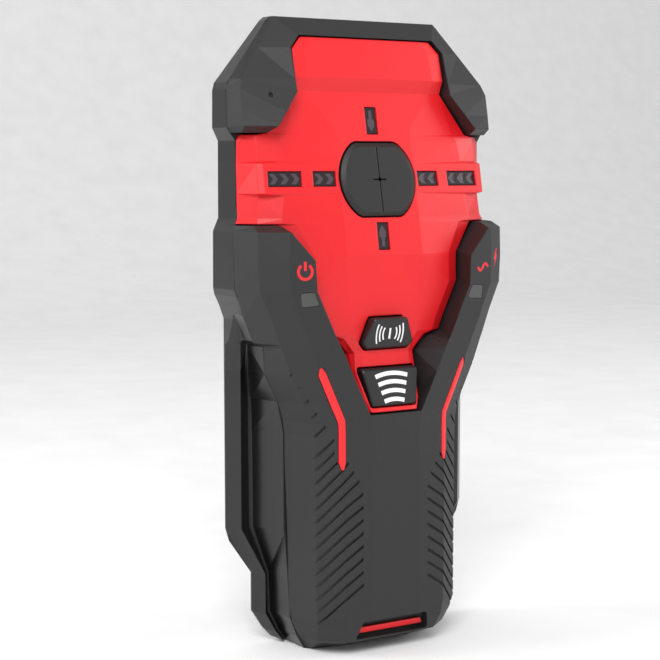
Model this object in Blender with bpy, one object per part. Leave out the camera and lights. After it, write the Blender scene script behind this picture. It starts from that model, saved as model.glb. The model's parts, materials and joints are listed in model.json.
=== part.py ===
"""Handheld stud finder: a wide sensor head and wings over a hand grip.

Sizes are in millimetres until they become vertices. x runs to the right, d is the distance out from
the wall face, and z runs up from the bottom end. In the scene X is x, -Y is d, and the origin is the
centre of the wall face.
"""
import math

import bmesh
import bpy
from mathutils import Vector

MM = 0.001

# Overall sizes
GRIP_TOP = 64.0
HEAD_LENGTH = 122.5
HEAD_DRAWN = 122.5
HALF_WIDTH = 45.3
FACE_DEPTH = 28.4
WALL = 2.1
HEIGHT = GRIP_TOP + HEAD_LENGTH

# Fits
SEAM = 0.15
GAP = 0.3
INLAY_FIT = 0.12
PRINT_DEPTH = 0.9

# Rear housing
BACK_WALL = 2.2
RIM_LEVEL = 14.0
GRIP_END_WALL = 5.5
EDGE_DEPTH = 0.5
LIP_DEPTH = 4.2
VALLEY_DEPTH = 2.3

# Face
FACE_SLOPE = 0.217
PLATE_WALL = 2.0
RED_LEVEL = 22.0

# Screws and their posts
SCREW_RADIUS = 1.0
SCREW_HEAD_RADIUS = 2.1
SCREW_HEAD = 1.0
SCREW_SUNK = 0.7
REAR_POST_RADIUS = 3.1
FRONT_POST_RADIUS = 2.6

# Marking port
PORT_UP = 75.6
PORT_RADIUS = 12.7
PORT_FLAT = 10.6
PORT_PROUD = 1.2
HOLE_RADIUS = 0.6
BORE_RADIUS = 1.7
SLIT_HALF_HEIGHT = 9.4
SLIT_HALF_WIDTH = 2.3
SLEEVE_RADIUS = 3.4

# Windows, keys and lenses
WINDOW_TOP_UP = 78.0
WINDOW_HEIGHT = 4.4
LENS_SUNK = 0.5
ARROW_HALF_WIDTH = 2.0
ARROW_HEIGHT = 8.0
KEY_FLANGE_LEVEL = 16.2
KEY_FLANGE = 1.4
KEY_BEVEL = 0.5
SWITCH_HEIGHT = 2.5
KEY_TRAVEL = 0.8

# Grip grooves
GROOVE_WIDTH = 1.0
GROOVE_DEPTH = 0.7
GROOVE_PITCH = 3.85
LONG_GROOVES = 8
SHORT_GROOVES = 12

# Battery
BATTERY_WIDTH = 26.5
BATTERY_LENGTH = 45.6
BATTERY_DEPTH = 17.5
BATTERY_BOTTOM = 10.5
BATTERY_LEVEL = 2.6

# Battery door
DOOR_HALF_WIDTH = 15.2
DOOR_LENGTH = 63.0
DOOR_THICKNESS = 1.8
DOOR_LIP = 0.6
RAIL = 1.4
SILL = 1.2

# Boards
BOARD_THICKNESS = 1.6
MAIN_BOARD_LEVEL = 7.4
KEY_BOARD_LEVEL = 11.4
SENSOR_BOARD_LEVEL = 2.4

SIDES = (("left", -1), ("right", 1))


def up(height):
    """z of a height from the top of the grip; drawn for a head of HEAD_DRAWN, and scaled."""
    return GRIP_TOP + height * HEAD_LENGTH / HEAD_DRAWN


def place(x, d, z):
    return Vector((x * MM, -d * MM, (z - HEIGHT / 2) * MM))


def seam_knots():
    """(z, depth) along the parting between the rear housing and the front pieces."""
    return [
        (-2.0, 12.0),
        (up(28.0), 12.4),
        (up(36.4), 12.5),
        (up(45.0), 11.4),
        (up(60.9), 10.5),
        (up(64.6), 9.6),
        (up(68.0), 8.6),
        (up(86.7), 8.2),
        (up(90.4), 7.8),
        (up(103.2), 7.0),
        (HEIGHT + 2.0, 3.1),
    ]


def seam(z):
    return between(seam_knots(), z)


def between(knots, at):
    """Value on a polyline of (position, value), with its ends held."""
    if at <= knots[0][0]:
        return knots[0][1]
    for (low, first), (high, second) in zip(knots, knots[1:]):
        if at <= high:
            return first + (second - first) * (at - low) / (high - low)
    return knots[-1][1]


# ---------------------------------------------------------------- meshes


def clear_scene():
    for obj in list(bpy.data.objects):
        bpy.data.objects.remove(obj, do_unlink=True)


def material(name, color, roughness, metallic=0.0, alpha=1.0):
    made = bpy.data.materials.new(name)
    made.use_nodes = True
    shader = made.node_tree.nodes["Principled BSDF"]
    shader.inputs["Base Color"].default_value = (*color, 1.0)
    shader.inputs["Roughness"].default_value = roughness
    shader.inputs["Metallic"].default_value = metallic
    shader.inputs["Alpha"].default_value = alpha
    made.diffuse_color = (*color, alpha)
    return made


def finish(mesh, name, look):
    bmesh.ops.recalc_face_normals(mesh, faces=mesh.faces)
    data = bpy.data.meshes.new(name)
    mesh.to_mesh(data)
    mesh.free()
    obj = bpy.data.objects.new(name, data)
    bpy.context.scene.collection.objects.link(obj)
    if look:
        data.materials.append(look)
    return obj


def skin(mesh, rings, looped):
    """Adds the closed surface through rings of (x, d, z) points; looped joins the last ring to the first."""
    rows = [[mesh.verts.new(place(*point)) for point in ring] for ring in rings]
    count = len(rows[0])
    pairs = list(zip(rows, rows[1:]))
    if looped:
        pairs.append((rows[-1], rows[0]))
    for low, high in pairs:
        for i in range(count):
            j = (i + 1) % count
            mesh.faces.new((low[i], low[j], high[j], high[i]))
    if not looped:
        mesh.faces.new(rows[0])
        mesh.faces.new(rows[-1])


def loft(name, rings, look, looped=False):
    mesh = bmesh.new()
    skin(mesh, rings, looped)
    bmesh.ops.triangulate(mesh, faces=mesh.faces[:])
    return finish(mesh, name, look)


def lofts(name, bodies, look):
    """Several separate closed bodies in one mesh, for cutters."""
    mesh = bmesh.new()
    for rings in bodies:
        skin(mesh, rings, False)
    bmesh.ops.triangulate(mesh, faces=mesh.faces[:])
    return finish(mesh, name, look)


def hide(tool):
    tool.hide_render = True
    tool.display_type = "WIRE"
    return tool


def boolean(obj, tool, crossing=False):
    """Cuts the tool out of the object; crossing says that the tool's own bodies run through each other."""
    modifier = obj.modifiers.new(tool.name, "BOOLEAN")
    modifier.object = hide(tool)
    modifier.operation = "DIFFERENCE"
    modifier.solver = "EXACT"
    modifier.use_self = crossing


def ring_of(outline, depth):
    """Points of an (x, z) outline on a depth that is a number or a function of x and z."""
    if callable(depth):
        return [(x, depth(x, z), z) for x, z in outline]
    return [(x, depth, z) for x, z in outline]


def mirrored(points):
    """Closed (x, z) outline from its right-hand points, listed from top to bottom."""
    return list(points) + [(-x, z) for x, z in reversed(points)]


def grown(outline, by):
    """Outline moved outwards by a distance, which is negative for inwards."""
    area = sum(a[0] * b[1] - b[0] * a[1] for a, b in zip(outline, outline[1:] + outline[:1]))
    sign = 1.0 if area > 0 else -1.0
    moved = []
    for before, here, after in zip(outline[-1:] + outline[:-1], outline, outline[1:] + outline[:1]):
        first = (Vector(here) - Vector(before)).normalized()
        second = (Vector(after) - Vector(here)).normalized()
        normal = Vector((first.y + second.y, -first.x - second.x)).normalized() * sign
        cosine = max(normal.dot(Vector((first.y, -first.x)) * sign), 0.35)
        moved.append((here[0] + normal.x * by / cosine, here[1] + normal.y * by / cosine))
    return moved


def rounded(corners, radius, steps=4):
    """Closed outline with each corner turned into an arc."""
    outline = []
    for before, here, after in zip(corners[-1:] + corners[:-1], corners, corners[1:] + corners[:1]):
        here = Vector(here)
        back = (Vector(before) - here).normalized()
        ahead = (Vector(after) - here).normalized()
        half = back.angle(ahead) / 2
        reach = radius / math.tan(half)
        centre = here + (back + ahead).normalized() * radius / math.sin(half)
        start = here + back * reach - centre
        end = here + ahead * reach - centre
        for step in range(steps + 1):
            share = step / steps
            point = (start * (1 - share) + end * share).normalized() * radius
            outline.append(tuple(centre + point))
    return outline


def box_outline(x_low, x_high, z_low, z_high):
    return [(x_low, z_low), (x_high, z_low), (x_high, z_high), (x_low, z_high)]


def circle(x, z, radius, count=24):
    turns = [2 * math.pi * (i + 0.3) / count for i in range(count)]
    return [(x + radius * math.cos(a), z + radius * math.sin(a)) for a in turns]


def block(name, outline, low, high, look):
    """Prism of an (x, z) outline between two depths."""
    return loft(name, [ring_of(outline, low), ring_of(outline, high)], look)


def tube(name, x, z, outer, inner, low, high, look):
    rings = [
        ring_of(circle(x, z, outer), low),
        ring_of(circle(x, z, outer), high),
        ring_of(circle(x, z, inner), high),
        ring_of(circle(x, z, inner), low),
    ]
    return loft(name, rings, look, looped=True)


def side_prism(name, profile, look):
    """Prism across the whole width of a (z, d) profile."""
    reach = HALF_WIDTH + 20
    rings = [[(x, d, z) for z, d in profile] for x in (-reach, reach)]
    return loft(name, rings, look)


def seam_tool(name, in_front, shift):
    """Everything in front of the parting, or everything behind it."""
    profile = [(z, depth + shift) for z, depth in seam_knots()]
    far = 50.0 if in_front else -10.0
    profile += [(profile[-1][0], far), (profile[0][0], far)]
    return side_prism(name, profile, None)


# ---------------------------------------------------------------- front shapes


def wing_rows():
    """Right half sections of the front housing: z, then the seam, outer crease, inner crease, inner edge."""
    w = HALF_WIDTH
    f = FACE_DEPTH
    return [
        (0.0, 21.5, (20.5, f - 15.2), (14.0, f - 13.6), (8.0, f - 13.4)),
        (4.5, 24.2, (22.0, f - 7.9), (15.0, f - 2.4), (8.0, f - 1.9)),
        (9.0, 26.2, (23.2, f - 5.8), (16.4, f - 0.6), (8.0, f - 0.1)),
        (13.0, 27.0, (23.9, f - 4.8), (16.9, f - 0.1), (8.0, f + 0.4)),
        (24.0, 27.5, (24.0, f - 5.0), (17.1, f - 0.1), (8.0, f + 0.5)),
        (up(-6.7), 28.7, (24.2, f - 5.3), (17.6, f - 1.0), (8.0, f + 0.1)),
        (up(2.0), 28.8, (24.3, f - 5.4), (17.7, f - 1.1), (8.0, f)),
        (up(6.0), 29.4, (25.0, f - 5.7), (17.8, f - 1.2), (8.4, f)),
        (up(11.3), 30.9, (27.2, f - 6.1), (19.9, f - 1.2), (10.6, f)),
        (up(20.0), 35.2, (31.5, f - 6.4), (23.8, f - 1.2), (14.6, f - 0.1)),
        (up(27.8), 35.6, (34.4, f - 6.4), (27.3, f - 1.3), (18.4, f - 0.2)),
        (up(29.0), 38.8, (34.9, f - 6.4), (27.8, f - 1.3), (19.0, f - 0.2)),
        (up(36.4), w - 3.3, (w - 7.7, f - 6.4), (w - 14.4, f - 1.3), (22.3, f - 0.4)),
        (up(44.4), w - 1.3, (w - 4.1, f - 6.6), (w - 11.1, f - 1.4), (26.1, f - 0.5)),
        (up(52.8), w - 1.2, (w - 3.6, f - 6.8), (w - 10.7, f - 1.6), (26.5, f - 0.7)),
        (up(61.0), w - 1.2, (w - 3.8, f - 6.9), (w - 11.1, f - 1.8), (33.5, f - 1.8)),
        (up(62.7), w - 1.4, (w - 4.3, f - 10.8), (w - 11.3, f - 7.2), (33.3, f - 7.1)),
    ]


def bumper_rows():
    """Right half sections of the head bumper: z, then x at the seam, crease and inner edge."""
    w = HALF_WIDTH
    return [
        (up(88.9), w - 1.9, (w - 3.5, 12.2), (33.7, 15.2)),
        (up(90.6), w - 1.0, (w - 3.2, 14.4), (33.7, 19.2)),
        (up(94.7), w - 1.0, (w - 3.1, 13.6), (30.6, 18.2)),
        (up(101.0), w - 1.0, (w - 3.1, 12.3), (26.2, 16.4)),
        (up(104.0), w - 2.0, (w - 4.1, 11.1), (26.1, 15.4)),
        (up(113.1), w - 9.0, (w - 10.8, 8.0), (26.1, 12.4)),
        (up(117.0), w - 12.1, (w - 13.7, 6.6), (22.9, 11.2)),
        (up(122.5), w - 16.9, (w - 17.8, 4.6), (12.0, 4.6)),
    ]


def section(z, seam_x, marks, floor=1.5):
    """Closed section of a front piece from its right half: down from the seam, and over the front."""
    low = min(seam(z), marks[0][1] - 0.3)
    right = [(seam_x, floor), (seam_x, low), *marks, (0.0, marks[-1][1])]
    left = [(-x, d) for x, d in reversed(right[:-1])]
    return [(x, d, z) for x, d in right + left]


def shrunk(row, lift):
    """The same half section one wall further in."""
    z, seam_x, *marks = row
    inner = [(x - shift, d - WALL) for (x, d), shift in zip(marks, (WALL, 1.5, 0.0)[-len(marks):])]
    return (z + lift, seam_x - WALL, *inner)


def depth_on(rows, x, z):
    """Depth of a front piece's surface, from its rows of half sections."""
    x = abs(x)
    profile = []
    for row in rows:
        line = sorted([(px, pd) for px, pd in row[2:]] + [(0.0, row[-1][1])])
        profile.append((row[0], between(line, x)))
    return between(profile, z)


def wing_face(x, z):
    return depth_on(wing_rows(), x, z)


def v_top():
    """Outline where the wings' inner walls meet their faces."""
    return mirrored([
        (34.8, up(64.5)), (33.5, up(60.9)), (26.5, up(53.0)), (26.1, up(44.4)), (22.0, up(35.4)),
        (20.0, up(31.0)), (18.6, up(28.2)), (17.4, up(26.0)),
        (14.2, up(19.0)), (10.6, up(11.5)), (8.8, up(7.7)),
    ])


def v_foot():
    """The same walls at the level of the face plate, where the lower ones lean in."""
    return mirrored([
        (34.8, up(64.5)), (34.0, up(62.4)), (27.6, up(53.8)), (27.6, up(45.0)), (23.2, up(35.6)),
        (21.2, up(30.6)), (16.4, up(29.3)), (11.9, up(24.9)),
        (11.8, up(20.8)), (10.4, up(11.5)), (8.8, up(7.7)),
    ])


def bumper_opening():
    return mirrored([
        (22.9, up(116.9)), (26.1, up(113.1)), (26.2, up(100.5)), (33.9, up(90.3)), (36.0, up(87.0)),
    ])


# ---------------------------------------------------------------- housings


def rear_outline():
    """Right side of the rear housing from top to bottom: z, x at the wall face, x at the rim."""
    w = HALF_WIDTH
    return [
        (up(122.5), w - 16.7, w - 18.3),
        (up(121.4), w - 15.4, w - 17.0),
        (up(103.2), w - 0.8, w - 2.4),
        (up(101.0), w - 0.2, w - 1.9),
        (up(90.4), w - 0.1, w - 1.8),
        (up(86.7), w - 1.9, w - 4.3),
        (up(64.6), w - 1.8, w - 4.2),
        (up(60.8), w - 0.1, w - 1.7),
        (up(44.3), w, w - 1.6),
        (up(42.4), w - 0.4, w - 2.0),
        (up(39.2), w - 1.9, w - 3.0),
        (up(35.3), w - 3.3, w - 3.3),
        (36.7, w - 3.3, w - 3.3),
        (32.6, w - 4.5, w - 4.5),
        (27.5, w - 8.0, w - 8.0),
        (22.1, w - 11.7, w - 11.7),
        (10.4, w - 11.7, w - 11.7),
        (4.9, w - 15.2, w - 15.2),
        (1.8, w - 17.9, w - 17.9),
        (0.4, w - 21.3, w - 21.3),
        (0.0, w - 23.8, w - 23.8),
    ]


def rear_cavity_outline():
    """Inside of the rear housing, one wall in from the rim of the head and from the ridges of the grip."""
    inset = WALL + 0.3
    head = [(x - inset, z) for z, _, x in rear_outline()[2:11]]
    grip = [
        (32.4, up(27.5)), (28.3, up(11.0)), (26.0, up(2.0)), (26.0, 27.0), (24.8, 22.0), (24.0, 10.0),
        (20.0, 4.6),
    ]
    return mirrored([(HALF_WIDTH - 20.0, HEIGHT - inset)] + head + grip)


def recess_rings(side):
    """Hand recess beside the grip: the flange's slanted edge and lip, a valley, and the wall to the ridge."""
    w = HALF_WIDTH
    lip_d = LIP_DEPTH
    low = VALLEY_DEPTH
    sections = [
        (up(37.0), (w - 2.0, 6.0), (w - 2.9, 6.4), (w - 3.1, 6.8), (w - 3.2, 7.2), w - 3.4),
        (up(29.2), (w - 3.1, 3.0), (w - 5.2, 5.6), (39.0, 6.0), (38.6, 6.4), 38.0),
        (up(27.6), (w - 3.2, 1.0), (w - 6.4, 4.6), (37.0, 4.4), (36.6, 4.6), 35.6),
        (up(19.7), (w - 3.2, EDGE_DEPTH), (w - 6.6, lip_d), (36.2, low), (35.2, low), 35.0),
        (up(11.3), (w - 3.2, EDGE_DEPTH), (w - 6.6, lip_d), (35.4, low), (34.4, low), 30.8),
        (up(2.0), (w - 3.2, EDGE_DEPTH), (w - 6.6, lip_d), (35.4, low), (34.2, low), 28.9),
        (36.7, (w - 3.2, EDGE_DEPTH), (w - 6.6, lip_d), (35.2, low), (34.0, low), 28.6),
        (22.0, (w - 11.6, EDGE_DEPTH), (w - 14.6, lip_d), (29.6, low), (28.8, low), 27.4),
        (10.0, (w - 11.6, EDGE_DEPTH), (w - 14.6, lip_d), (29.2, low), (28.4, low), 26.6),
        (4.0, (w - 15.6, EDGE_DEPTH), (w - 18.0, lip_d), (26.2, low), (25.4, low), 24.3),
        (-1.0, (w - 20.0, EDGE_DEPTH), (w - 22.0, lip_d), (22.6, low), (22.0, low), 21.2),
    ]
    out = w + 5.0
    front = FACE_DEPTH + 10.0
    rings = []
    for z, edge, lip, outer, inner, ridge in sections:
        marks = [(out, edge[1]), edge, lip, outer, inner, (ridge, 12.6), (ridge, front), (out, front)]
        rings.append([(side * x, d, z) for x, d in marks])
    return rings


def screw_tip(z):
    """Depth that a screw reaches: further in the wings and the grip than in the thin head."""
    return 18.0 if z < up(60.0) else 12.0


def screw_tip_clear(z):
    return screw_tip(z) + 0.5


def screw_sites():
    """Name, x and z of each housing screw."""
    sites = []
    for label, side in SIDES:
        sites.append((label + "_head", side * 36.5, up(96.0)))
        sites.append((label + "_wing", side * 37.0, up(52.0)))
        sites.append((label + "_grip", side * 21.2, 16.0))
    return sites


def cylinders(name, sites, radius, low, high, count=16):
    """One cutter with a cylinder at each screw; the depths are numbers or functions of z."""
    bodies = []
    for _, x, z in sites:
        ends = [depth(z) if callable(depth) else depth for depth in (low, high)]
        bodies.append([ring_of(circle(x, z, radius, count), end) for end in ends])
    return lofts(name, bodies, None)


def rear_housing(look):
    outline = rear_outline()
    back = mirrored([(x, z) for z, x, _ in outline])
    rim = mirrored([(x, z) for z, _, x in outline])
    body = loft("rear_housing", [ring_of(back, 0.0), ring_of(rim, RIM_LEVEL)], look)
    boolean(body, seam_tool("tool_rear_front", True, 0.0))
    boolean(body, lofts("tool_recess", [recess_rings(side) for _, side in SIDES], None))
    cavity = block("tool_rear_cavity", rear_cavity_outline(), BACK_WALL, 40.0, None)
    sites = screw_sites()
    boolean(cavity, cylinders("tool_rear_posts", sites, REAR_POST_RADIUS, -1.0, 50.0, 24))
    half = DOOR_HALF_WIDTH
    sill = box_outline(-half - RAIL - 2.0, half + RAIL + 2.0, -1.0, DOOR_LENGTH + 3.4)
    boolean(cavity, block("tool_sill", sill, 0.0, DOOR_THICKNESS + GAP + SILL, None))
    boolean(body, cavity)
    seat = SCREW_SUNK + SCREW_HEAD + GAP
    steps = [(SCREW_HEAD_RADIUS + GAP, -1.0), (SCREW_HEAD_RADIUS + GAP, seat), (SCREW_RADIUS + GAP, seat)]
    steps.append((SCREW_RADIUS + GAP, 50.0))
    holes = [[ring_of(circle(x, z, radius, 16), depth) for radius, depth in steps] for _, x, z in sites]
    boolean(body, lofts("tool_screw_holes", holes, None))
    mouth = box_outline(-half - GAP, half + GAP, -1.0, DOOR_LENGTH + GAP)
    rails = box_outline(-half - RAIL - GAP, half + RAIL + GAP, -1.0, DOOR_LENGTH + RAIL + GAP)
    depths = [(mouth, -1.0), (mouth, DOOR_LIP), (rails, DOOR_LIP), (rails, DOOR_THICKNESS + GAP)]
    boolean(body, loft("tool_door", [ring_of(outline, depth) for outline, depth in depths], None))
    window = box_outline(-half + 1.0, half - 1.0, BATTERY_BOTTOM - 2.5, DOOR_LENGTH - 1.0)
    boolean(body, block("tool_battery_window", window, 1.0, 6.0, None))
    bore = circle(0.0, up(PORT_UP), SLEEVE_RADIUS + GAP)
    boolean(body, block("tool_rear_bore", bore, -1.0, 8.0, None))
    pads = [[ring_of(outline, -1.0), ring_of(outline, 0.7)] for _, outline in pad_sites(INLAY_FIT)]
    boolean(body, lofts("tool_pads", pads, None))


def pad_sites(grow):
    """Name and outline of each glide pad on the wall face."""
    sites = []
    for label, side in SIDES:
        for place_name, x, z, length in (("head", 34.0, up(108.5), 9.0), ("flange", 34.5, up(8.0), 26.0)):
            half = 2.2
            centre = side * (x - (5.0 if place_name == "head" else 0.0))
            corners = box_outline(centre - half, centre + half, z - length / 2, z + length / 2)
            sites.append((place_name + "_pad_" + label, grown(rounded(corners, 1.6), grow)))
    return sites


def battery_door(look, foam):
    """Door that slides down out of the grip's end, with rails behind the lips of its opening."""
    half = DOOR_HALF_WIDTH
    panel = rounded(box_outline(-half, half, 0.4, DOOR_LENGTH), 0.8)
    inner = rounded(box_outline(-half, half, 0.8 + RAIL, DOOR_LENGTH), 0.8)
    rails = grown(inner, RAIL)
    rail_level = DOOR_LIP + GAP
    depths = [(grown(panel, -0.3), 0.0), (panel, 0.3), (inner, rail_level), (rails, rail_level)]
    depths.append((rails, DOOR_THICKNESS))
    door = loft("battery_door", [ring_of(outline, depth) for outline, depth in depths], look)
    grips = []
    for i in range(5):
        z = DOOR_LENGTH - 9.0 - 2.4 * i
        bar = box_outline(-7.0, 7.0, z - 0.5, z + 0.5)
        grips.append([ring_of(bar, -1.0), ring_of(bar, 0.5)])
    boolean(door, lofts("tool_door_grips", grips, None))
    pad = box_outline(-9.0, 9.0, BATTERY_BOTTOM + 9.0, BATTERY_BOTTOM + BATTERY_LENGTH - 9.0)
    block("battery_pad", rounded(pad, 1.0), DOOR_THICKNESS + 0.1, BATTERY_LEVEL - 0.1, foam)


def groove_paths():
    """Inner end, crease and outer end of each grip groove, as (x, z), on the right side."""
    paths = []
    for i in range(LONG_GROOVES):
        z = 16.5 + GROOVE_PITCH * i
        paths.append(((11.2, z + 5.4), (17.0, z + 1.6), (24.4, z - 7.0)))
    for i in range(4):
        z = 16.5 + GROOVE_PITCH * (LONG_GROOVES + i)
        x = 12.4 + 1.7 * i
        paths.append(((x, z + 5.4 - 1.05 * i), (17.2, z + 1.6), (24.4, z - 7.0)))
    for i in range(SHORT_GROOVES - 4):
        z = 16.5 + GROOVE_PITCH * (LONG_GROOVES + 4 + i)
        lean = max(0.0, z - 3.0 - GRIP_TOP) * 0.62
        start = 19.6 + lean
        paths.append(((start, z - 1.4), (start + 2.0, z - 3.8), (24.6 + lean, z - 7.0)))
    return paths


def groove_bodies(side):
    """Cutter for each groove: a slot that follows the front surface."""
    bodies = []
    for path in groove_paths():
        rings = []
        for x, z in path:
            floor = wing_face(x, z) - GROOVE_DEPTH
            half = GROOVE_WIDTH / 2
            rings.append([
                (side * x, floor, z - half), (side * x, floor, z + half),
                (side * x, floor + 4.0, z + half), (side * x, floor + 4.0, z - half),
            ])
        bodies.append(rings)
    return bodies


def stripe_rings(side, spread, low, high):
    """Red accent stripe along the crease beside the grip."""
    path = [
        (24.6, up(22.4)), (24.0, up(20.4)), (17.8, up(6.6)), (17.6, up(4.4)), (17.6, up(-5.4)),
        (17.5, up(-7.6)),
    ]
    halves = [0.35, 0.95, 0.95, 0.95, 0.95, 0.35]
    rings = []
    for (x, z), half in zip(path, halves):
        half += spread
        slant = 0.0 if z < up(5.0) else 0.4
        corners = [(-half, low), (0.0, low), (half, low), (half, high), (0.0, high), (-half, high)]
        points = [(x + offset, z - offset * slant, level) for offset, level in corners]
        rings.append([(side * px, wing_face(px, pz) + level, pz) for px, pz, level in points])
    rings[0] = [(x, d, z + spread) for x, d, z in rings[0]]
    rings[-1] = [(x, d, z - spread) for x, d, z in rings[-1]]
    return rings


def lens_outline(side):
    return [(side * x, z) for x, z in rounded([
        (25.4, up(40.4)), (30.8, up(40.0)), (31.2, up(43.9)), (27.1, up(44.2)),
    ], 0.5, 2)]


def bar_outline():
    return rounded([(-11.4, 6.5), (11.4, 6.5), (10.2, 8.3), (-10.2, 8.3)], 0.3, 2)


def bar_floor(x, z):
    return FACE_DEPTH - 3.9 + 0.35 * (z - 7.0)


def v_rings(spread, low):
    """The opening between the wings: upright behind the face plate, then leaning to the wing faces."""
    foot = grown(v_foot(), spread)
    top = grown(v_top(), spread)
    return [ring_of(foot, low), ring_of(foot, 19.0), ring_of(top, FACE_DEPTH - 0.2), ring_of(top, 33.0)]


def front_cavity(name, rows, walls):
    """Hollow of a front piece, with posts left standing in it for its screws."""
    cavity = loft(name, [section(row[0], row[1], row[2:], -4.0) for row in rows], None)
    boolean(cavity, walls, crossing=True)
    low, high = rows[0][0], rows[-1][0]
    sites = [site for site in screw_sites() if low < site[2] < high]
    boolean(cavity, cylinders(name + "_posts", sites, FRONT_POST_RADIUS, -10.0, 50.0, 24), crossing=True)
    return cavity, sites


def front_housing(look):
    rows = wing_rows()
    body = loft("front_housing", [section(row[0], row[1], row[2:]) for row in rows], look)
    boolean(body, seam_tool("tool_front_rear", False, SEAM))
    lifts = [GRIP_END_WALL] * 4 + [0.0] * (len(rows) - 6) + [-WALL] * 2
    inner = [shrunk(row, lift) for row, lift in zip(rows, lifts)]
    walls = loft("tool_v_walls", v_rings(1.9, 15.0), None)
    cavity, sites = front_cavity("tool_front_cavity", inner, walls)
    boolean(body, cavity)
    boolean(body, cylinders("tool_front_holes", sites, SCREW_RADIUS + SEAM, 0.0, screw_tip_clear))
    boolean(body, loft("tool_v", v_rings(0.0, 8.0), None))
    boolean(body, lofts("tool_grooves", groove_bodies(-1) + groove_bodies(1), None), crossing=True)
    grooves = [stripe_rings(side, INLAY_FIT, -PRINT_DEPTH, 4.0) for _, side in SIDES]
    boolean(body, lofts("tool_stripes", grooves, None))
    lenses = []
    for _, side in SIDES:
        outline = grown(lens_outline(side), INLAY_FIT)
        lenses.append([ring_of(outline, lambda x, z: wing_face(x, z) - 1.1), ring_of(outline, 36.0)])
    boolean(body, lofts("tool_lenses", lenses, None))
    pocket = rounded([(-12.6, 5.0), (12.6, 5.0), (11.0, 10.6), (-11.0, 10.6)], 0.6, 2)
    boolean(body, loft("tool_pocket", [ring_of(pocket, bar_floor), ring_of(pocket, 36.0)], None))


def head_bumper(look):
    rows = bumper_rows()
    body = loft("head_bumper", [section(row[0], row[1], row[2:]) for row in rows], look)
    boolean(body, seam_tool("tool_bumper_rear", False, SEAM))
    lifts = [WALL] * 2 + [0.0] * (len(rows) - 3) + [-WALL - 0.3]
    inner = [shrunk(row, lift) for row, lift in zip(rows, lifts)]
    opening = bumper_opening()
    walls = block("tool_bumper_walls", grown(opening, 1.9), -12.0, 50.0, None)
    cavity, sites = front_cavity("tool_bumper_cavity", inner, walls)
    boolean(body, cavity)
    boolean(body, cylinders("tool_bumper_holes", sites, SCREW_RADIUS + SEAM, 0.0, screw_tip_clear))
    boolean(body, block("tool_bumper_opening", opening, -12.0, 40.0, None))
    pip = circle(-34.0, up(99.5), 0.7, 12)
    boolean(body, block("tool_pip", pip, depth_on(rows, -34.0, up(99.5)) - 0.6, 30.0, None))


# ---------------------------------------------------------------- face plate


def main_face(z):
    """Depth of the middle of the face plate below the nameplate."""
    return min(13.0 + FACE_SLOPE * (up(96.7) - z), RED_LEVEL)


def band_face(z):
    return 15.9 + 0.2 * (up(WINDOW_TOP_UP) - z)


def plate_rows():
    """Right half sections of the face plate: z, then x and depth of each mark from the middle outwards."""
    w = HALF_WIDTH

    def waist(height, ridge_x, ridge_d, side_x, side_d, edge_x):
        z = up(height)
        middle = main_face(z)
        edge = (edge_x, seam(z) + SEAM)
        return (z, [(0.0, middle), (13.0, middle), (ridge_x, ridge_d), (side_x, side_d), edge])

    def band(height):
        z = up(height)
        face = band_face(z)
        middle = main_face(z)
        edge = w - 3.4
        return (z, [(0.0, middle), (13.0, middle), (36.9, face), (38.6, face - 0.9), (edge, seam(z) + SEAM)])

    def plain(height, middle, inner_x, ridge_x, ridge_d, side_x, side_d, edge_d):
        return (up(height), [(0.0, middle), (inner_x, middle), (ridge_x, ridge_d), (side_x, side_d),
                             (side_x + 0.4, edge_d)])

    red = RED_LEVEL
    side = red - 2.4
    return [
        plain(8.3, 27.6, 6.0, 7.7, 27.4, 8.1, 26.8, 21.0),
        plain(11.6, 26.4, 7.0, 8.9, 26.2, 9.6, 25.3, 20.0),
        plain(20.8, red + 0.6, 8.0, 10.2, red, 10.9, red - 1.2, 18.0),
        plain(25.0, red, 8.0, 10.0, red - 0.8, 11.0, side, 17.4),
        plain(29.4, red, 10.0, 13.4, red - 0.8, 15.5, side, 17.5),
        plain(30.7, red, 11.0, 17.0, red - 0.7, 20.3, side, 17.5),
        plain(35.5, red, 12.0, 18.5, red - 0.6, 22.3, side, 17.5),
        plain(45.0, red, 13.0, 23.0, red - 0.6, 26.7, side, 17.5),
        plain(53.6, main_face(up(53.6)), 13.0, 23.0, red - 1.0, 26.7, side - 0.2, 17.3),
        plain(62.9, main_face(up(62.9)), 13.0, 28.0, 18.9, 33.0, 17.4, 15.0),
        waist(63.1, 32.0, 18.4, w - 6.6, 15.6, w - 2.2),
        waist(64.6, 32.0, 18.1, w - 6.9, 15.0, w - 3.1),
        waist(71.0, 31.0, 17.2, w - 7.5, 14.4, w - 3.4),
        band(71.6),
        band(80.2),
        waist(80.8, 31.0, 15.3, w - 7.7, 13.2, w - 3.4),
        waist(86.7, 30.0, 14.4, w - 7.8, 12.4, w - 3.6),
        waist(88.3, 29.0, 14.2, w - 7.8, 12.0, w - 4.3),
        plain(88.8, main_face(up(88.8)), 13.0, 28.5, 13.9, 34.0, 12.8, 9.5),
        plain(90.2, main_face(up(90.2)), 13.0, 28.0, 13.7, 33.0, 12.7, 9.5),
        plain(101.0, main_face(up(101.0)), 12.0, 21.5, main_face(up(101.0)), 25.3, 11.8, 8.5),
        plain(104.8, 13.9, 12.0, 21.5, 13.9, 25.3, 13.6, 8.5),
        plain(113.0, 11.7, 12.0, 21.0, 11.7, 25.2, 11.4, 8.0),
        plain(116.5, 10.7, 12.0, 18.5, 10.7, 22.0, 10.4, 7.6),
    ]


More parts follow.
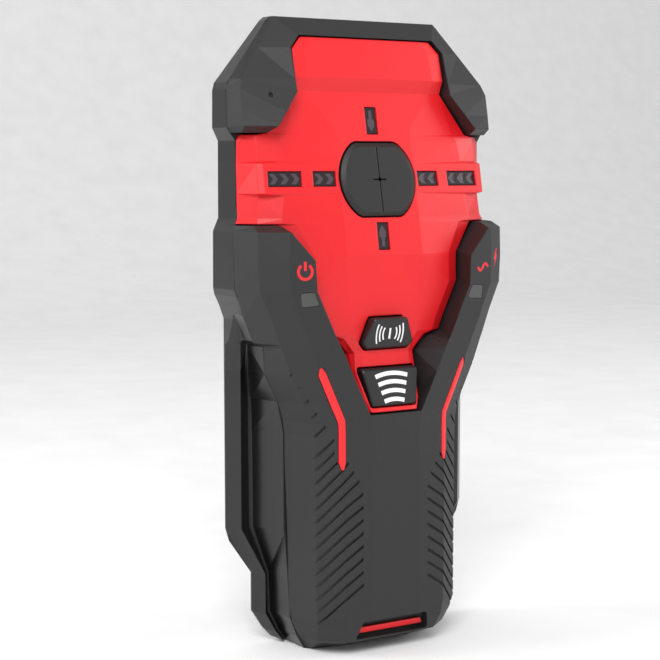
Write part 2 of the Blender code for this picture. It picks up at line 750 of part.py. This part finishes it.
def plate_section(row):
    """Closed band: the outer surface across the width, and the inner surface one wall behind it."""
    z, marks = row
    shifts = (0.0, 0.0, 0.8, 1.2, 1.6)
    drops = (PLATE_WALL, PLATE_WALL, PLATE_WALL, PLATE_WALL, 0.0)
    inner = [(x - shift, d - drop) for (x, d), shift, drop in zip(marks, shifts, drops)]
    outer = [(-x, d) for x, d in reversed(marks[1:])] + marks
    behind = list(reversed(inner)) + [(-x, d) for x, d in inner[1:]]
    return [(x, d, z) for x, d in outer + behind]


def plate_face(x, z):
    profile = [(row_z, between(marks, abs(x))) for row_z, marks in plate_rows()]
    return between(profile, z)


def window_sites():
    """Name and outline of each window in the face plate."""
    top = up(WINDOW_TOP_UP)
    low = top - WINDOW_HEIGHT
    sites = []
    for label, side in SIDES:
        for name, near, far in (("far_window_", 25.0, 35.7), ("near_window_", 14.0, 21.4)):
            lean = 0.15 * side
            corners = [(side * near + lean, low), (side * far + lean, low)]
            corners += [(side * far, top), (side * near, top)]
            sites.append((name + label, corners))
    for name, arrow_top in (("upper_window", up(96.7)), ("lower_window", up(63.1))):
        half = ARROW_HALF_WIDTH
        sites.append((name, box_outline(-half, half, arrow_top - ARROW_HEIGHT, arrow_top)))
    return sites


def key_sites():
    """Name, outline and top surface of each key."""
    mode = mirrored([(5.6, up(35.4)), (8.7, up(28.1)), (7.2, up(26.3))])
    scan = mirrored([(9.5, up(20.7)), (9.5, up(19.2)), (7.5, up(9.9))])
    return [
        ("mode_key", mode, lambda x, z: 25.5 + 0.25 * (z - up(34.5))),
        ("scan_key", scan, lambda x, z: 25.1 + 0.257 * (up(20.1) - z)),
    ]


def port_outline(radius, flat, count=48):
    """Circle cut by a flat at the top and one at the bottom."""
    middle = up(PORT_UP)
    points = []
    for i in range(count):
        angle = 2 * math.pi * i / count
        x = radius * math.cos(angle)
        z = radius * math.sin(angle)
        points.append((x, middle + max(-flat, min(flat, z))))
    return points


def port_plane(lift):
    middle = up(PORT_UP)
    return lambda x, z: main_face(middle) + lift + FACE_SLOPE * (middle - z)


def face_plate(look):
    body = loft("face_plate", [plate_section(row) for row in plate_rows()], look)
    tools = []
    for _, corners in window_sites():
        tools.append([ring_of(corners, 5.0), ring_of(corners, 36.0)])
    for _, corners, _ in key_sites():
        opening = rounded(grown(corners, 0.45), 1.0)
        tools.append([ring_of(opening, 5.0), ring_of(opening, 36.0)])
    hole = port_outline(PORT_RADIUS + 0.5, PORT_FLAT + 0.5)
    tools.append([ring_of(hole, 5.0), ring_of(hole, 36.0)])
    boolean(body, lofts("tool_face_openings", tools, None))


def window_lens(name, corners, look):
    """Lens with a flange behind the face plate."""
    neck = rounded(grown(corners, -0.2), 0.25, 2)
    flange = grown(neck, 0.5)
    behind = PLATE_WALL + 0.25

    def sunk(by):
        return lambda x, z: plate_face(x, z) - by

    rings = [
        ring_of(flange, sunk(behind + 0.9)),
        ring_of(flange, sunk(behind)),
        ring_of(neck, sunk(behind)),
        ring_of(neck, sunk(LENS_SUNK)),
    ]
    return loft(name, rings, look)


def key(name, corners, plane, look):
    """Key with a flange behind the face plate and a bevelled top."""
    neck = rounded(corners, 0.9)
    flange = rounded(grown(corners, 0.9), 0.9)
    top = rounded(grown(corners, -KEY_BEVEL), 0.7)
    rings = [
        ring_of(flange, KEY_FLANGE_LEVEL),
        ring_of(flange, KEY_FLANGE_LEVEL + KEY_FLANGE),
        ring_of(neck, KEY_FLANGE_LEVEL + KEY_FLANGE),
        ring_of(neck, lambda x, z: plane(x, z) - KEY_BEVEL),
        ring_of(top, plane),
    ]
    return loft(name, rings, look)


def marking_port(look):
    """Flat rubber disc with a small hole and slits that a pencil pushes open."""
    count = 48
    under = PLATE_WALL + 0.25
    hole = port_outline(HOLE_RADIUS, HOLE_RADIUS, count)
    rings = [
        ring_of(port_outline(PORT_RADIUS + 0.8, PORT_FLAT + 0.8), port_plane(-under - 1.0)),
        ring_of(port_outline(PORT_RADIUS + 0.8, PORT_FLAT + 0.8), port_plane(-under)),
        ring_of(port_outline(PORT_RADIUS, PORT_FLAT), port_plane(-under)),
        ring_of(port_outline(PORT_RADIUS, PORT_FLAT), port_plane(PORT_PROUD - 0.9)),
        ring_of(port_outline(PORT_RADIUS - 1.3, PORT_FLAT - 1.1), port_plane(PORT_PROUD)),
        ring_of(hole, port_plane(PORT_PROUD)),
        ring_of(hole, port_plane(-under - 1.0)),
    ]
    body = loft("marking_port", rings, look, looped=True)
    middle = up(PORT_UP)
    tall, wide, thin = SLIT_HALF_HEIGHT, SLIT_HALF_WIDTH, 0.17
    cross = [(thin, tall), (thin, thin), (wide, thin), (wide, -thin), (thin, -thin), (thin, -tall)]
    outline = mirrored([(x, middle + z) for x, z in cross])
    slits = [ring_of(outline, port_plane(-0.7)), ring_of(outline, port_plane(4.0))]
    boolean(body, loft("tool_slits", slits, None))


# ---------------------------------------------------------------- inside


def screws(look):
    for label, x, z in screw_sites():
        tip = screw_tip(z)
        under_head = SCREW_SUNK + SCREW_HEAD
        stations = [
            (SCREW_HEAD_RADIUS, SCREW_SUNK),
            (SCREW_HEAD_RADIUS, under_head),
            (SCREW_RADIUS, under_head),
            (SCREW_RADIUS, tip - 1.0),
            (0.3, tip),
        ]
        rings = [ring_of(circle(x, z, radius, 16), depth) for radius, depth in stations]
        body = loft("screw_" + label, rings, look)
        slot = box_outline(x - 1.3, x + 1.3, z - 0.25, z + 0.25)
        boolean(body, block("tool_slot_" + label, slot, 0.0, SCREW_SUNK + 0.5, None))


def glide_pads(look):
    for name, outline in pad_sites(0.0):
        block(name, outline, 0.0, 0.55, look)


def boards(look, copper):
    level = MAIN_BOARD_LEVEL
    outline = [
        (25.0, up(98.0)), (25.0, up(88.0)), (35.0, up(84.0)), (35.0, up(58.0)),
        (30.0, up(46.0)), (20.0, up(37.0)), (20.0, up(33.5)),
    ]
    main = block("main_board", mirrored(outline), level, level + BOARD_THICKNESS, look)
    through = block("tool_main_bore", circle(0.0, up(PORT_UP), SLEEVE_RADIUS + 0.5), 0.0, 20.0, None)
    boolean(main, through)
    deck = KEY_BOARD_LEVEL
    block("key_board", box_outline(-10.5, 10.5, up(6.0), up(36.5)), deck, deck + BOARD_THICKNESS - 0.4, look)
    base = SENSOR_BOARD_LEVEL
    sensor = [
        (25.0, up(116.0)), (30.0, up(104.0)), (31.0, up(90.0)), (35.0, up(80.0)),
        (35.0, up(60.0)), (30.0, up(56.0)), (25.0, up(8.0)),
    ]
    plate = block("sensor_board", mirrored(sensor), base, base + 1.0, look)
    boolean(plate, block("tool_sensor_bore", circle(0.0, up(PORT_UP), SLEEVE_RADIUS + 0.5), 0.0, 20.0, None))
    for name, x_low, x_high in (("left", -24.0, -10.0), ("middle", -7.5, 7.5), ("right", 10.0, 24.0)):
        foil = box_outline(x_low, x_high, up(20.0), up(66.0))
        block("sensor_foil_" + name, foil, base + 1.1, base + 1.25, copper)


def board_parts(dark, light, metal):
    top = MAIN_BOARD_LEVEL + BOARD_THICKNESS + 0.1
    block("controller_chip", box_outline(-5.0, 5.0, up(46.0), up(56.0)), top, top + 1.4, dark)
    block("buzzer", circle(-20.0, up(52.0), 5.5), top, top + 4.2, dark)
    for name, corners in window_sites():
        x = sum(point[0] for point in corners) / 4
        z = sum(point[1] for point in corners) / 4
        chip = box_outline(x - 1.0, x + 1.0, z - 0.6, z + 0.6)
        block(name.replace("window", "led"), chip, top, top + 0.7, light)
    for label, side in SIDES:
        near = box_outline(13.2, 22.2, up(72.4), up(79.2))
        far = box_outline(24.2, 36.4, up(72.4), up(79.2))
        outline = [(side * x, z) for x, z in box_outline(13.2, 36.4, up(72.4), up(79.2))]
        body = block("light_baffle_" + label, outline, top, top + 3.0, dark)
        cells = []
        for cell in (near, far):
            inner = [(side * x, z) for x, z in grown(cell, -0.9)]
            cells.append([ring_of(inner, 0.0), ring_of(inner, 20.0)])
        boolean(body, lofts("tool_cells_" + label, cells, None))
    deck = KEY_BOARD_LEVEL + BOARD_THICKNESS - 0.3
    floor = deck + 1.0
    for name, z in (("mode", up(31.0)), ("scan", up(15.4))):
        case = rounded(box_outline(-3.0, 3.0, z - 3.0, z + 3.0), 0.4, 2)
        body = block(name + "_switch", case, deck, deck + SWITCH_HEIGHT, metal)
        boolean(body, block("tool_" + name + "_well", circle(0.0, z, 1.9), floor, deck + 6.0, None))
        block(name + "_plunger", circle(0.0, z, 1.6), floor + KEY_TRAVEL + 0.1, KEY_FLANGE_LEVEL - 0.05, dark)


def battery(case, metal, dark):
    half = BATTERY_WIDTH / 2
    low = BATTERY_LEVEL
    high = low + BATTERY_DEPTH
    z_low = BATTERY_BOTTOM
    z_high = z_low + BATTERY_LENGTH
    depth = (low + high) / 2
    profile = rounded([(-half, low), (half, low), (half, high), (-half, high)], 2.0)
    rings = []
    for z, inset in ((z_low, 0.6), (z_low + 0.6, 0.0), (z_high - 0.6, 0.0), (z_high, 0.6)):
        rings.append([(x, d, z) for x, d in grown(profile, -inset)])
    loft("battery", rings, case)
    for name, x, radius in (("plus", -6.35, 2.9), ("minus", 6.35, 4.0)):
        outline = circle(x, depth, radius, 20)
        rings = [[(px, d, z) for px, d in outline] for z in (z_high + 0.1, z_high + 2.8)]
        loft("battery_terminal_" + name, rings, metal)
    snap = rounded(box_outline(-12.0, 12.0, depth - 6.0, depth + 6.0), 2.5)
    loft("battery_snap", [[(x, d, z) for x, d in snap] for z in (z_high + 3.0, z_high + 5.6)], dark)


def lead(name, side, look):
    """Insulated wire from the battery snap to the main board, along one smooth curve."""
    z_snap = BATTERY_BOTTOM + BATTERY_LENGTH + 6.0
    depth = BATTERY_LEVEL + BATTERY_DEPTH / 2
    points = [
        (side * 6.0, depth, z_snap),
        (side * 6.6, depth - 0.4, z_snap + 3.5),
        (side * 12.6, depth - 1.2, z_snap + 9.0),
        (side * 14.6, 10.2, z_snap + 22.0),
        (side * 14.8, 10.0, up(36.0)),
    ]
    curve = bpy.data.curves.new(name, "CURVE")
    curve.dimensions = "3D"
    curve.resolution_u = 6
    curve.bevel_depth = 0.65 * MM
    curve.bevel_resolution = 2
    curve.use_fill_caps = True
    spline = curve.splines.new("BEZIER")
    spline.bezier_points.add(len(points) - 1)
    for knot, point in zip(spline.bezier_points, points):
        knot.co = place(*point)
        knot.handle_left_type = "AUTO"
        knot.handle_right_type = "AUTO"
    obj = bpy.data.objects.new(name, curve)
    bpy.context.scene.collection.objects.link(obj)
    curve.materials.append(look)


# ---------------------------------------------------------------- whole


def build():
    clear_scene()
    gloss = material("gloss_black", (0.012, 0.012, 0.013), 0.28)
    soft = material("soft_black", (0.03, 0.029, 0.03), 0.62)
    red = material("face_red", (0.72, 0.012, 0.018), 0.38)
    accent = material("accent_red", (0.7, 0.015, 0.02), 0.4)
    rubber = material("port_rubber", (0.02, 0.02, 0.021), 0.5)
    keycap = material("key_black", (0.028, 0.027, 0.028), 0.4)
    smoke = material("window_smoke", (0.08, 0.07, 0.085), 0.15)
    lens = material("lens_smoke", (0.2, 0.2, 0.19), 0.25)
    board = material("board_green", (0.01, 0.12, 0.05), 0.5)
    copper = material("copper", (0.75, 0.35, 0.2), 0.35, 1.0)
    steel = material("steel", (0.5, 0.5, 0.5), 0.35, 1.0)
    chip = material("chip_black", (0.015, 0.015, 0.015), 0.5)
    led = material("led_body", (0.85, 0.82, 0.7), 0.4)
    felt = material("pad_grey", (0.08, 0.08, 0.085), 0.9)
    case = material("battery_case", (0.05, 0.09, 0.2), 0.4)
    wire_red = material("wire_red", (0.55, 0.02, 0.02), 0.5)
    wire_black = material("wire_black", (0.02, 0.02, 0.02), 0.5)
    sleeve = material("sleeve_black", (0.02, 0.02, 0.022), 0.5)

    rear_housing(gloss)
    battery_door(gloss, felt)
    front_housing(soft)
    head_bumper(soft)
    face_plate(red)
    marking_port(rubber)
    middle = up(PORT_UP)
    tube("marking_sleeve", 0.0, middle, SLEEVE_RADIUS, BORE_RADIUS, 0.2, main_face(middle) - 4.3, sleeve)
    for name, corners in window_sites():
        window_lens(name, corners, smoke)
    for name, corners, plane in key_sites():
        key(name, corners, plane, keycap)
    for label, side in SIDES:
        outline = lens_outline(side)
        rings = [ring_of(outline, lambda x, z: wing_face(x, z) - 0.95), ring_of(outline, wing_face)]
        loft("wing_lens_" + label, rings, lens)
        loft("stripe_" + label, stripe_rings(side, 0.0, -PRINT_DEPTH + 0.15, 0.05), accent)
    bar = bar_outline()
    loft("bottom_bar", [ring_of(bar, lambda x, z: bar_floor(x, z) + 0.08),
                        ring_of(bar, lambda x, z: bar_floor(x, z) + 1.0)], accent)
    screws(steel)
    glide_pads(felt)
    boards(board, copper)
    board_parts(chip, led, steel)
    battery(case, steel, chip)
    lead("lead_plus", -1, wire_red)
    lead("lead_minus", 1, wire_black)


build()
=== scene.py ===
"""Looks of the stud finder: finishes, printed marks, light and camera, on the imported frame."""
import json
import math

import bmesh
import bpy
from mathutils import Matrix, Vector
from mathutils.bvhtree import BVHTree


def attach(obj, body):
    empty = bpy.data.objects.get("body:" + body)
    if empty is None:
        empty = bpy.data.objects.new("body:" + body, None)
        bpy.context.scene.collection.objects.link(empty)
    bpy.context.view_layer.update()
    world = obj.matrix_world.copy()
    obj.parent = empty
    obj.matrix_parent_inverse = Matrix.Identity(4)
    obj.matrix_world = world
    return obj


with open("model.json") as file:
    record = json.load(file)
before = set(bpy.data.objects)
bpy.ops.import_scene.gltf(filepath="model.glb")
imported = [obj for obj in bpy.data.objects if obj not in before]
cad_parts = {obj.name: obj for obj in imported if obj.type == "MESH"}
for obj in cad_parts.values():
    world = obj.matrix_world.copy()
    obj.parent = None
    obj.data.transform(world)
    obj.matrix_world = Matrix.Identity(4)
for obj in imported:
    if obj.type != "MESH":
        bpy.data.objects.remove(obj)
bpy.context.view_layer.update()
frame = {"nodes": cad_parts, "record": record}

MM = 0.001
GRIP_TOP = 64.0
HALF_HEIGHT = 93.25
PRINT_LIFT = 0.04
PRINT_SUNK = 0.15
SLOW_SCALE = 38.0
EDGE_RADIUS = 0.45

CAMERA_PLACE = (-0.23716, -0.40034, 0.05085)
CAMERA_YAW = 30.0
CAMERA_PITCH = -6.21
LENS = 83.27


def height(above_grip):
    """World z in mm of a height above the top of the grip."""
    return GRIP_TOP + above_grip - HALF_HEIGHT


# ---------------------------------------------------------------- finishes


def finish(name, color, roughness, grain, depth, spread=0.06, metallic=0.0, coat=0.0, edge=EDGE_RADIUS):
    """Moulded finish: fine grain as bump, slow change of roughness and shade, and softly broken edges."""
    look = bpy.data.materials.new(name)
    look.use_nodes = True
    nodes, links = look.node_tree.nodes, look.node_tree.links
    shader = nodes["Principled BSDF"]
    shader.inputs["Metallic"].default_value = metallic
    shader.inputs["Coat Weight"].default_value = coat
    shader.inputs["Coat Roughness"].default_value = 0.2
    place = nodes.new("ShaderNodeTexCoord")
    fine = nodes.new("ShaderNodeTexNoise")
    fine.inputs["Scale"].default_value = grain
    fine.inputs["Detail"].default_value = 3.0
    slow = nodes.new("ShaderNodeTexNoise")
    slow.inputs["Scale"].default_value = SLOW_SCALE
    slow.inputs["Detail"].default_value = 5.0
    links.new(place.outputs["Object"], fine.inputs["Vector"])
    links.new(place.outputs["Object"], slow.inputs["Vector"])
    rough = nodes.new("ShaderNodeMapRange")
    rough.inputs["To Min"].default_value = roughness - spread
    rough.inputs["To Max"].default_value = roughness + spread
    links.new(slow.outputs["Fac"], rough.inputs["Value"])
    links.new(rough.outputs["Result"], shader.inputs["Roughness"])
    shade = nodes.new("ShaderNodeMix")
    shade.data_type = "RGBA"
    shade.inputs["A"].default_value = (*[c * 0.93 for c in color], 1.0)
    shade.inputs["B"].default_value = (*[min(c * 1.06, 1.0) for c in color], 1.0)
    links.new(slow.outputs["Fac"], shade.inputs["Factor"])
    links.new(shade.outputs["Result"], shader.inputs["Base Color"])
    rounded = nodes.new("ShaderNodeBevel")
    rounded.samples = 6
    rounded.inputs["Radius"].default_value = edge * MM
    bump = nodes.new("ShaderNodeBump")
    bump.inputs["Strength"].default_value = 0.5
    bump.inputs["Distance"].default_value = depth * MM
    links.new(fine.outputs["Fac"], bump.inputs["Height"])
    links.new(rounded.outputs["Normal"], bump.inputs["Normal"])
    links.new(bump.outputs["Normal"], shader.inputs["Normal"])
    return look


def finishes():
    return {
        "gloss_black": finish("gloss_black", (0.005, 0.005, 0.005), 0.3, 900, 0.02, coat=0.15),
        "soft_black": finish("soft_black", (0.0135, 0.013, 0.0132), 0.56, 2600, 0.1),
        "face_red": finish("face_red", (0.72, 0.006, 0.011), 0.42, 1400, 0.02),
        "accent_red": finish("accent_red", (0.78, 0.01, 0.016), 0.42, 1400, 0.02, edge=0.15),
        "port_rubber": finish("port_rubber", (0.008, 0.008, 0.008), 0.52, 1800, 0.04),
        "sleeve_black": finish("sleeve_black", (0.015, 0.015, 0.015), 0.5, 1500, 0.04),
        "key_black": finish("key_black", (0.01, 0.0095, 0.01), 0.42, 2200, 0.04),
        "window_smoke": finish("window_smoke", (0.018, 0.011, 0.015), 0.2, 900, 0.01, edge=0.15),
        "chevron_smoke": finish("chevron_smoke", (0.062, 0.045, 0.055), 0.35, 900, 0.01, edge=0.08),
        "lens_smoke": finish("lens_smoke", (0.06, 0.06, 0.057), 0.32, 1800, 0.05, edge=0.15),
        "board_green": finish("board_green", (0.01, 0.12, 0.05), 0.45, 700, 0.03),
        "copper": finish("copper", (0.75, 0.35, 0.2), 0.35, 600, 0.02, metallic=1.0),
        "steel": finish("steel", (0.45, 0.45, 0.45), 0.34, 800, 0.03, metallic=1.0, edge=0.15),
        "chip_black": finish("chip_black", (0.015, 0.015, 0.015), 0.5, 1500, 0.04),
        "led_body": finish("led_body", (0.75, 0.72, 0.6), 0.4, 900, 0.02),
        "pad_grey": finish("pad_grey", (0.05, 0.05, 0.053), 0.9, 3000, 0.2),
        "battery_case": finish("battery_case", (0.03, 0.06, 0.16), 0.4, 900, 0.03),
        "wire_red": finish("wire_red", (0.5, 0.02, 0.02), 0.5, 900, 0.02),
        "wire_black": finish("wire_black", (0.015, 0.015, 0.015), 0.5, 900, 0.02),
        "print_white": finish("print_white", (0.85, 0.85, 0.85), 0.5, 1600, 0.02, edge=0.05),
        "print_red": finish("print_red", (0.72, 0.012, 0.02), 0.5, 1600, 0.02, edge=0.05),
    }


def dress(looks):
    """Gives every CAD node the finish of its slot in the record."""
    slots = {part["node"]: part["material_slot"] for part in frame["record"]["subparts"]}
    for name, obj in frame["nodes"].items():
        obj.data.materials.clear()
        obj.data.materials.append(looks[slots[name]])


# ---------------------------------------------------------------- printed marks


def surface_of(node):
    """Function that gives the world y of a node's front surface at x and z in mm."""
    obj = frame["nodes"][node]
    mesh = obj.data
    tree = BVHTree.FromPolygons([v.co for v in mesh.vertices], [p.vertices for p in mesh.polygons])

    def at(x, z):
        hit = tree.ray_cast(Vector((x * MM, -0.2, z * MM)), Vector((0, 1, 0)))[0]
        return hit.y if hit else None

    return at


def decal(name, outlines, node, body, look):
    """Thin printed pieces that lie on the front of a node; each outline is a closed list of (x, z) in mm."""
    at = surface_of(node)
    mesh = bmesh.new()
    for outline in outlines:
        depths = [at(x, z) for x, z in outline]
        top = [mesh.verts.new((x * MM, y - PRINT_LIFT * MM, z * MM)) for (x, z), y in zip(outline, depths)]
        low = [mesh.verts.new((x * MM, y + PRINT_SUNK * MM, z * MM)) for (x, z), y in zip(outline, depths)]
        mesh.faces.new(top)
        mesh.faces.new(list(reversed(low)))
        for i in range(len(outline)):
            j = (i + 1) % len(outline)
            mesh.faces.new((top[i], low[i], low[j], top[j]))
    bmesh.ops.triangulate(mesh, faces=[f for f in mesh.faces if len(f.verts) > 4])
    bmesh.ops.recalc_face_normals(mesh, faces=mesh.faces)
    data = bpy.data.meshes.new(name)
    mesh.to_mesh(data)
    mesh.free()
    data.materials.append(look)
    obj = bpy.data.objects.new(name, data)
    bpy.context.scene.collection.objects.link(obj)
    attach(obj, body)
    return obj


def ribbon(path, half_width):
    """Outline of a stroke along a path of (x, z)."""
    left = []
    right = []
    for i, here in enumerate(path):
        before = Vector(path[max(i - 1, 0)])
        after = Vector(path[min(i + 1, len(path) - 1)])
        along = (after - before).normalized()
        side = Vector((-along.y, along.x)) * half_width
        left.append((here[0] + side.x, here[1] + side.y))
        right.append((here[0] - side.x, here[1] - side.y))
    return left + list(reversed(right))


def moved(outline, x, z, flip=1):
    """Outline carried to a place; flip -1 mirrors it left to right."""
    return [(x + flip * px, z + pz) for px, pz in outline]


def chevrons(look):
    shape = [(-1.45, 1.5), (0.1, 1.5), (1.35, 0.0), (0.1, -1.5), (-1.45, -1.5), (-0.2, 0.0)]
    middle = height(75.8)
    for node, start, count in (("far_window", 26.9, 3), ("near_window", 15.9, 2)):
        for label, side in (("left", -1), ("right", 1)):
            outlines = [moved(shape, side * (start + 3.4 * i), middle, -side) for i in range(count)]
            piece = decal(node + "_chevrons_" + label, outlines, node + "_" + label, "body", look)
    arrow = [(-0.5, 3.0), (0.5, 3.0), (0.5, 0.5), (1.15, 0.3), (1.15, -1.4), (0.0, -3.1), (-1.15, -1.4),
             (-1.15, 0.3), (-0.5, 0.5)]
    for node, middle, way in (("upper_window", height(92.7), 1), ("lower_window", height(59.1), -1)):
        outline = [(x, middle + way * z) for x, z in arrow]
        piece = decal(node + "_arrow", [outline], node, "body", look)


def scan_marks(look):
    """Four arcs on the large key, widest at the top."""
    outlines = []
    for level, half in ((18.35, 5.5), (16.05, 4.8), (13.65, 4.1), (11.25, 3.4)):
        steps = [-1.0 + i / 6 for i in range(13)]
        path = [(half * t, height(level) + 0.16 * half * (1.0 - t * t)) for t in steps]
        outlines.append(ribbon(path, 0.6))
    decal("scan_arcs", outlines, "scan_key", "scan_button", look)


def mode_marks(look):
    """Three arcs each side of a plain bar on the small key."""
    outlines = [ribbon([(0.0, height(32.4)), (0.0, height(29.2))], 0.3)]
    middle = height(30.8)
    for reach, half in ((1.9, 1.8), (3.0, 2.3), (4.1, 2.9)):
        for side in (-1, 1):
            steps = [-1.0 + i / 5 for i in range(11)]
            path = [(side * (reach + 0.45 * (1.0 - t * t)), middle + half * t) for t in steps]
            outlines.append(ribbon(path, 0.22))
    decal("mode_arcs", outlines, "mode_key", "mode_button", look)


def wing_marks(look):
    """Power symbol on the left wing; wave and bolt on the right one."""
    x, z, radius = -29.8, height(50.0), 2.1
    turns = [math.radians(125 + 290 * i / 20) for i in range(21)]
    ring = ribbon([(x + radius * math.cos(a), z + radius * math.sin(a)) for a in turns], 0.42)
    bar = ribbon([(x, z + 2.9), (x, z + 0.3)], 0.42)
    steps = [-1.0 + i / 8 for i in range(17)]
    wave = ribbon([(31.2 + 2.0 * t, height(49.4) + 1.0 * math.sin(math.pi * t)) for t in steps], 0.36)
    bolt = [(0.5, 2.9), (-1.3, -0.4), (-0.2, -0.4), (-0.8, -2.9), (1.2, 0.5), (0.1, 0.5), (1.1, 2.9)]
    bolt = moved(bolt, 37.7, height(51.8))
    for name, outlines in (("power_mark", [ring, bar]), ("wave_mark", [wave]), ("bolt_mark", [bolt])):
        piece = decal(name, outlines, "front_housing", "body", look)


# ---------------------------------------------------------------- studio


def backdrop():
    """Pale floor that curves up behind the object."""
    look = finish("backdrop", (0.95, 0.95, 0.95), 0.8, 60, 0.05, edge=0.1)
    floor = -HALF_HEIGHT - 0.05
    reach = 3000.0
    radius = 700.0
    profile = [(-reach, floor), (900.0, floor)]
    for i in range(1, 17):
        angle = math.radians(90 * i / 16)
        profile.append((900.0 + radius * math.sin(angle), floor + radius * (1 - math.cos(angle))))
    profile.append((profile[-1][0], floor + 3000.0))
    mesh = bmesh.new()
    rows = [[mesh.verts.new((x * MM, y * MM, z * MM)) for x in (-reach, reach)] for y, z in profile]
    for low, high in zip(rows, rows[1:]):
        mesh.faces.new((low[0], low[1], high[1], high[0]))
    bmesh.ops.recalc_face_normals(mesh, faces=mesh.faces)
    data = bpy.data.meshes.new("backdrop")
    mesh.to_mesh(data)
    mesh.free()
    data.shade_smooth()
    data.materials.append(look)
    obj = bpy.data.objects.new("backdrop", data)
    bpy.context.scene.collection.objects.link(obj)


def lamp(name, place, power, size):
    light = bpy.data.lights.new(name, "AREA")
    light.energy = power
    light.size = size
    obj = bpy.data.objects.new(name, light)
    obj.location = place
    obj.rotation_euler = (-Vector(place)).to_track_quat("-Z", "Y").to_euler()
    bpy.context.scene.collection.objects.link(obj)


def studio():
    world = bpy.data.worlds.new("studio")
    world.use_nodes = True
    world.node_tree.nodes["Background"].inputs["Color"].default_value = (1.0, 1.0, 1.0, 1.0)
    world.node_tree.nodes["Background"].inputs["Strength"].default_value = 0.6
    bpy.context.scene.world = world
    lamp("key", (-0.55, -0.75, 0.75), 8.5, 0.5)
    lamp("fill", (0.85, -0.45, 0.35), 3.2, 0.4)
    lamp("rim", (-0.75, 0.25, 0.35), 2.5, 0.3)
    bpy.context.scene.view_settings.view_transform = "Standard"


def camera():
    data = bpy.data.cameras.new("camera")
    data.lens = LENS
    data.sensor_width = 36.0
    obj = bpy.data.objects.new("camera", data)
    obj.location = CAMERA_PLACE
    obj.rotation_euler = (math.radians(90.0 + CAMERA_PITCH), 0.0, math.radians(-CAMERA_YAW))
    bpy.context.scene.collection.objects.link(obj)
    bpy.context.scene.camera = obj


looks = finishes()
dress(looks)
chevrons(looks["chevron_smoke"])
scan_marks(looks["print_white"])
mode_marks(looks["print_white"])
wing_marks(looks["print_red"])
backdrop()
studio()
camera()
